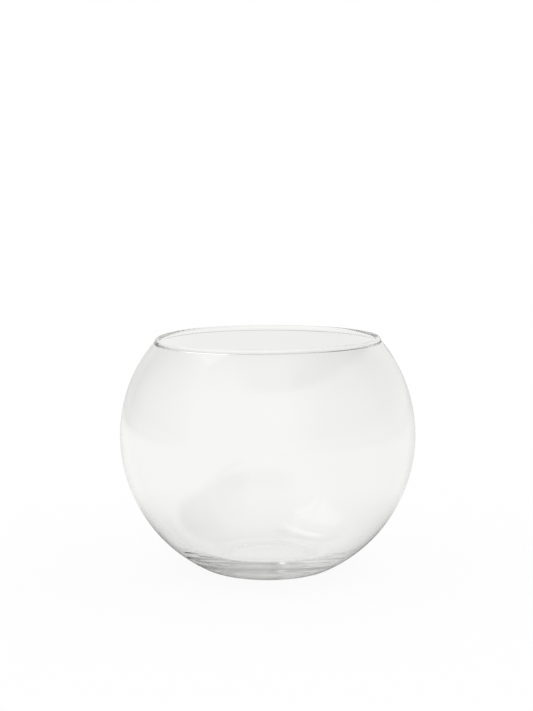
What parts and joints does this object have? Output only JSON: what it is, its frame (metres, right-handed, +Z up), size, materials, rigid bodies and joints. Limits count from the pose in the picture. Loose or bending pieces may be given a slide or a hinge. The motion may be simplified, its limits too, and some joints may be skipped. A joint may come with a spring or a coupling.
{
  "type": "rose bowl vase",
  "caption": "Clear glass rose bowl vase: a round ball-shaped bowl with a wide open mouth, a rounded rim and a thick floor.",
  "frame": {"origin": "middle of the standing ring, on the surface the bowl stands on", "axes": "+Z up along the bowl's axis of revolution, out of the mouth; +X and +Y level"},
  "size_m": [0.152, 0.152, 0.1211],
  "materials": {
    "clear_glass": "clear, smooth, fire-polished"
  },
  "bodies": {
    "root": {"glass_bowl": "clear_glass"}
  },
  "joints": []
}
